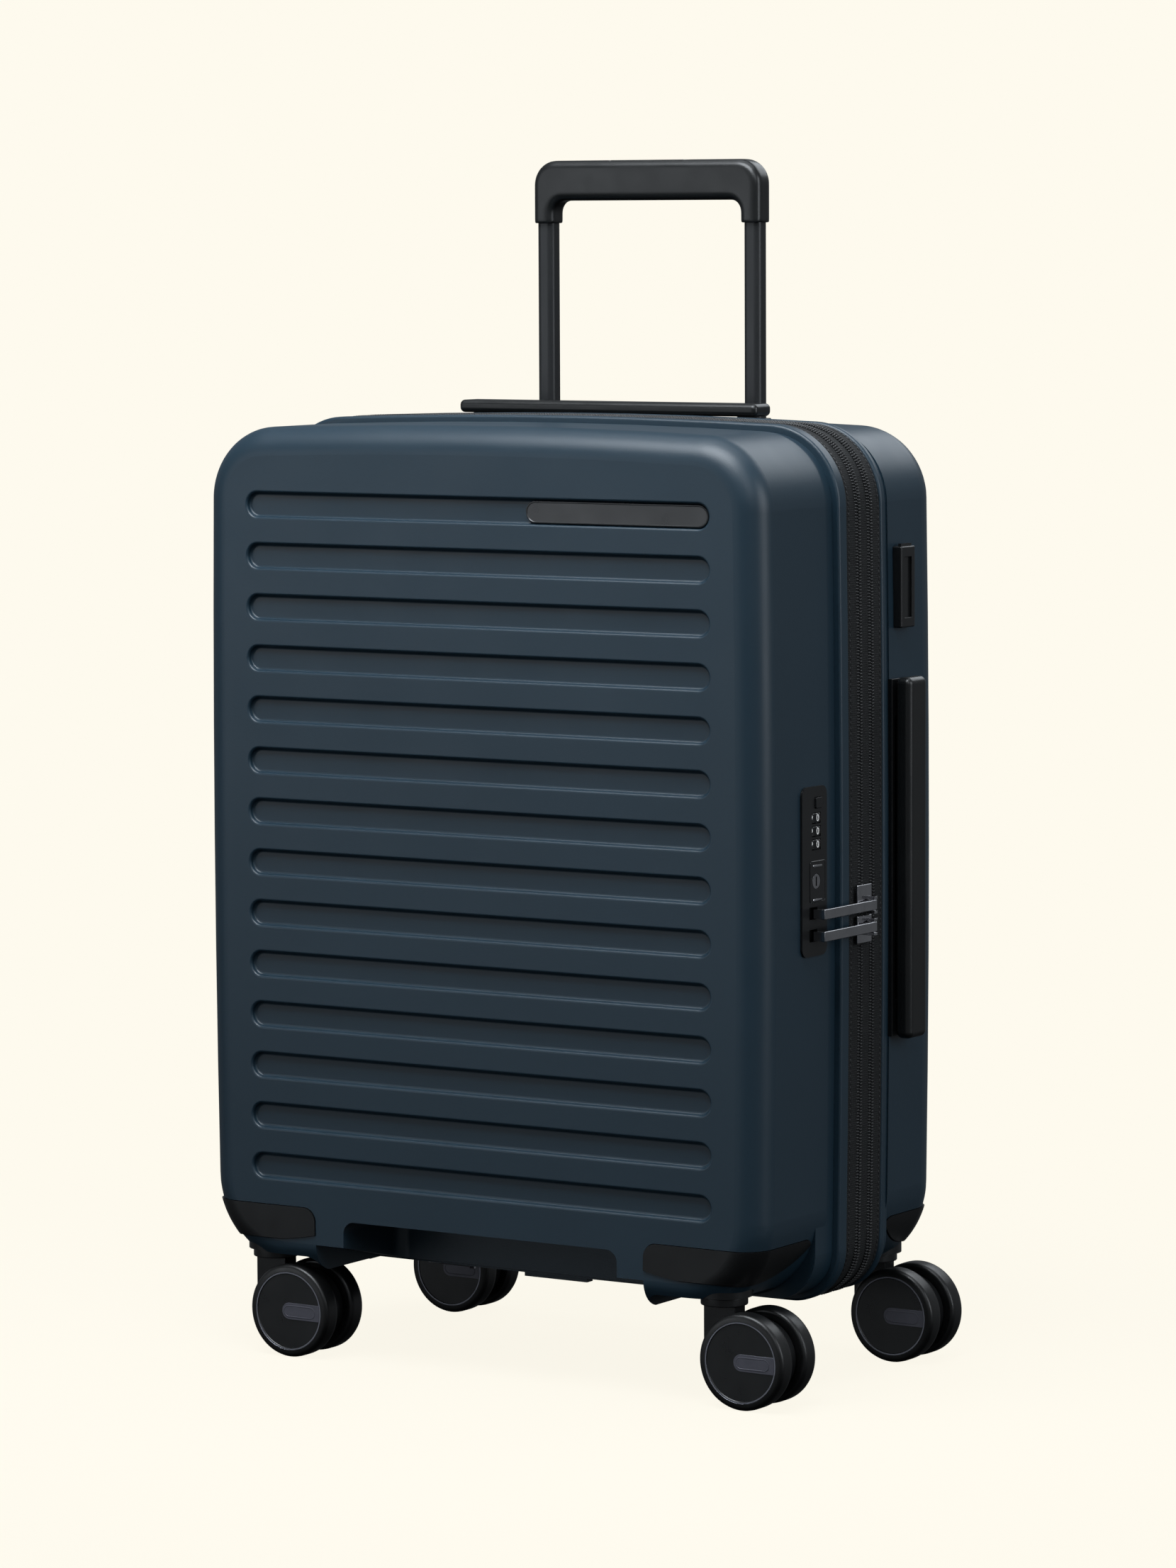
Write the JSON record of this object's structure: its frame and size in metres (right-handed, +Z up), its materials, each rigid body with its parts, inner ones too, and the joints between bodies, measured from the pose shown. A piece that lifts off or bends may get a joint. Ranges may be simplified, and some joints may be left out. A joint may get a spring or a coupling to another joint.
{
  "type": "hard-shell suitcase on wheels",
  "caption": "Upright hard-shell cabin suitcase with ribbed halves joined by an expanding zip, spinner wheels, telescoping trolley handle, top and side handles and a dial lock.",
  "frame": {"origin": "on the floor, under the middle of the case", "axes": "+Z up, +X towards the side with the lock and the side handle, -Y towards the front half"},
  "size_m": [0.394, 0.2016, 0.675],
  "materials": {
    "navy_shell": "matte",
    "black_plastic": "satin",
    "lock_plastic": "satin",
    "dial_plastic": "gloss",
    "grip_plastic": "matte",
    "wheel_tread": "matte",
    "axle_steel": "satin",
    "tube_aluminium": "anodised",
    "zip_tape": "woven",
    "dark_chrome": "polished",
    "lining_fabric": "woven",
    "plate_metal": "satin",
    "tag_paper": "matte"
  },
  "bodies": {
    "back_half": {"back_shell": "navy_shell", "back_zip_tape": "zip_tape", "back_lining": "lining_fabric", "trolley_outer_tubes": "tube_aluminium", "trolley_foot_bracket": "black_plastic", "bracket_screws": "axle_steel", "trolley_bezel": "black_plastic", "top_handle_tray": "black_plastic", "side_handle_tray": "black_plastic", "tag_holder": "black_plastic", "rear_left_cover": "black_plastic", "rear_right_cover": "black_plastic", "side_feet": "black_plastic", "packing_straps": "lining_fabric"},
    "middle_ring": {"middle_zip_band": "zip_tape", "expansion_gusset": "lining_fabric", "hinge_strip": "lining_fabric"},
    "front_half": {"front_shell": "navy_shell", "front_zip_tape": "zip_tape", "front_lining": "lining_fabric", "divider_panel": "lining_fabric", "name_plate": "plate_metal", "lock_body": "lock_plastic", "front_left_cover": "black_plastic", "front_right_cover": "black_plastic"},
    "trolley_middle": {"trolley_middle_tubes": "tube_aluminium"},
    "trolley_top": {"trolley_inner_tubes": "tube_aluminium", "trolley_grip": "grip_plastic"},
    "trolley_button": {"grip_button": "grip_plastic", "release_rods": "axle_steel"},
    "top_handle": {"top_handle": "black_plastic"},
    "side_handle": {"side_handle": "black_plastic"},
    "tag_card": {"tag_card": "tag_paper"},
    "lock_dial_1": {"lock_dial_1": "dial_plastic"},
    "lock_dial_2": {"lock_dial_2": "dial_plastic"},
    "lock_dial_3": {"lock_dial_3": "dial_plastic"},
    "key_cylinder": {"key_cylinder": "dark_chrome"},
    "lock_button": {"lock_button": "grip_plastic"},
    "upper_slider": {"upper_slider": "dark_chrome"},
    "lower_slider": {"lower_slider": "dark_chrome"},
    "upper_puller": {"upper_puller": "dark_chrome"},
    "lower_puller": {"lower_puller": "dark_chrome"},
    "expansion_slider": {"expansion_slider": "dark_chrome"},
    "expansion_puller": {"expansion_puller": "dark_chrome"},
    "front_left_caster": {"front_left_fork": "black_plastic", "front_left_axle": "axle_steel"},
    "front_left_wheel_a": {"front_left_wheel_a": "wheel_tread"},
    "front_left_wheel_b": {"front_left_wheel_b": "wheel_tread"},
    "front_right_caster": {"front_right_fork": "black_plastic", "front_right_axle": "axle_steel"},
    "front_right_wheel_a": {"front_right_wheel_a": "wheel_tread"},
    "front_right_wheel_b": {"front_right_wheel_b": "wheel_tread"},
    "rear_left_caster": {"rear_left_fork": "black_plastic", "rear_left_axle": "axle_steel"},
    "rear_left_wheel_a": {"rear_left_wheel_a": "wheel_tread"},
    "rear_left_wheel_b": {"rear_left_wheel_b": "wheel_tread"},
    "rear_right_caster": {"rear_right_fork": "black_plastic", "rear_right_axle": "axle_steel"},
    "rear_right_wheel_a": {"rear_right_wheel_a": "wheel_tread"},
    "rear_right_wheel_b": {"rear_right_wheel_b": "wheel_tread"}
  },
  "joints": [
    {"name": "expansion", "type": "slide", "parent": "back_half", "child": "middle_ring", "axis": [0, -1, 0], "range_m": [0, 0.03]},
    {"name": "case_opening", "type": "hinge", "parent": "middle_ring", "child": "front_half", "pos_m": [-0.189, 0.0005, 0.2895], "axis": [0, 0, -1], "range_deg": [0, 170]},
    {"name": "trolley_middle_travel", "type": "slide", "parent": "back_half", "child": "trolley_middle", "axis": [0, 0, 1], "range_m": [0, 0.225]},
    {"name": "trolley_top_travel", "type": "slide", "parent": "trolley_middle", "child": "trolley_top", "axis": [0, 0, 1], "range_m": [-0.125, 0.1]},
    {"name": "trolley_button_press", "type": "slide", "parent": "trolley_top", "child": "trolley_button", "axis": [0, 0, -1], "range_m": [0, 0.003], "stiffness_N_per_m": 500, "springref_m": -0.004},
    {"name": "top_handle_lift", "type": "slide", "parent": "back_half", "child": "top_handle", "axis": [0, 0, 1], "range_m": [0, 0.012], "stiffness_N_per_m": 200, "springref_m": -0.002},
    {"name": "side_handle_lift", "type": "slide", "parent": "back_half", "child": "side_handle", "axis": [1, 0, 0], "range_m": [0, 0.012], "stiffness_N_per_m": 200, "springref_m": -0.003},
    {"name": "tag_card_slide", "type": "slide", "parent": "back_half", "child": "tag_card", "axis": [0, 0, 1], "range_m": [0, 0.04]},
    {"name": "dial_1_turn", "type": "hinge", "parent": "front_half", "child": "lock_dial_1", "pos_m": [0.1785, -0.0442, 0.3038], "axis": [0, 0, 1], "continuous": true},
    {"name": "dial_2_turn", "type": "hinge", "parent": "front_half", "child": "lock_dial_2", "pos_m": [0.1785, -0.0442, 0.311], "axis": [0, 0, 1], "continuous": true},
    {"name": "dial_3_turn", "type": "hinge", "parent": "front_half", "child": "lock_dial_3", "pos_m": [0.1785, -0.0442, 0.3182], "axis": [0, 0, 1], "continuous": true},
    {"name": "key_turn", "type": "hinge", "parent": "front_half", "child": "key_cylinder", "pos_m": [0.1785, -0.0442, 0.2837], "axis": [1, 0, 0], "range_deg": [0, 90]},
    {"name": "lock_button_press", "type": "slide", "parent": "front_half", "child": "lock_button", "axis": [-1, 0, 0], "range_m": [0, 0.0015], "stiffness_N_per_m": 500, "springref_m": -0.001},
    {"name": "upper_slider_travel", "type": "slide", "parent": "front_half", "child": "upper_slider", "axis": [0, 0, 1], "range_m": [0, 0.195]},
    {"name": "upper_puller_swing", "type": "hinge", "parent": "upper_slider", "child": "upper_puller", "pos_m": [0.193, 0.0055, 0.2703], "axis": [0, 0, 1], "range_deg": [0, 150]},
    {"name": "lower_slider_travel", "type": "slide", "parent": "front_half", "child": "lower_slider", "axis": [0, 0, 1], "range_m": [-0.14, 0]},
    {"name": "lower_puller_swing", "type": "hinge", "parent": "lower_slider", "child": "lower_puller", "pos_m": [0.193, 0.0055, 0.2533], "axis": [0, 0, 1], "range_deg": [0, 150]},
    {"name": "expansion_slider_travel", "type": "slide", "parent": "middle_ring", "child": "expansion_slider", "axis": [1, 0, 0], "range_m": [-0.025, 0.19]},
    {"name": "expansion_puller_swing", "type": "hinge", "parent": "expansion_slider", "child": "expansion_puller", "pos_m": [-0.075, 0.0132, 0.0412], "axis": [0, -1, 0], "range_deg": [0, 150]},
    {"name": "front_left_swivel", "type": "hinge", "parent": "front_half", "child": "front_left_caster", "pos_m": [-0.1495, -0.0815, 0.07], "axis": [0, 0, 1], "continuous": true},
    {"name": "front_left_wheel_a_roll", "type": "hinge", "parent": "front_left_caster", "child": "front_left_wheel_a", "pos_m": [-0.1285, -0.09385, 0.0265], "axis": [0, 1, 0], "continuous": true},
    {"name": "front_left_wheel_b_roll", "type": "hinge", "parent": "front_left_caster", "child": "front_left_wheel_b", "pos_m": [-0.1285, -0.06915, 0.0265], "axis": [0, 1, 0], "continuous": true},
    {"name": "front_right_swivel", "type": "hinge", "parent": "front_half", "child": "front_right_caster", "pos_m": [0.1495, -0.0815, 0.07], "axis": [0, 0, 1], "continuous": true},
    {"name": "front_right_wheel_a_roll", "type": "hinge", "parent": "front_right_caster", "child": "front_right_wheel_a", "pos_m": [0.1705, -0.09385, 0.0265], "axis": [0, 1, 0], "continuous": true},
    {"name": "front_right_wheel_b_roll", "type": "hinge", "parent": "front_right_caster", "child": "front_right_wheel_b", "pos_m": [0.1705, -0.06915, 0.0265], "axis": [0, 1, 0], "continuous": true},
    {"name": "rear_left_swivel", "type": "hinge", "parent": "back_half", "child": "rear_left_caster", "pos_m": [-0.1495, 0.0815, 0.07], "axis": [0, 0, 1], "continuous": true},
    {"name": "rear_left_wheel_a_roll", "type": "hinge", "parent": "rear_left_caster", "child": "rear_left_wheel_a", "pos_m": [-0.1285, 0.06915, 0.0265], "axis": [0, 1, 0], "continuous": true},
    {"name": "rear_left_wheel_b_roll", "type": "hinge", "parent": "rear_left_caster", "child": "rear_left_wheel_b", "pos_m": [-0.1285, 0.09385, 0.0265], "axis": [0, 1, 0], "continuous": true},
    {"name": "rear_right_swivel", "type": "hinge", "parent": "back_half", "child": "rear_right_caster", "pos_m": [0.1495, 0.0815, 0.07], "axis": [0, 0, 1], "continuous": true},
    {"name": "rear_right_wheel_a_roll", "type": "hinge", "parent": "rear_right_caster", "child": "rear_right_wheel_a", "pos_m": [0.1705, 0.06915, 0.0265], "axis": [0, 1, 0], "continuous": true},
    {"name": "rear_right_wheel_b_roll", "type": "hinge", "parent": "rear_right_caster", "child": "rear_right_wheel_b", "pos_m": [0.1705, 0.09385, 0.0265], "axis": [0, 1, 0], "continuous": true}
  ]
}
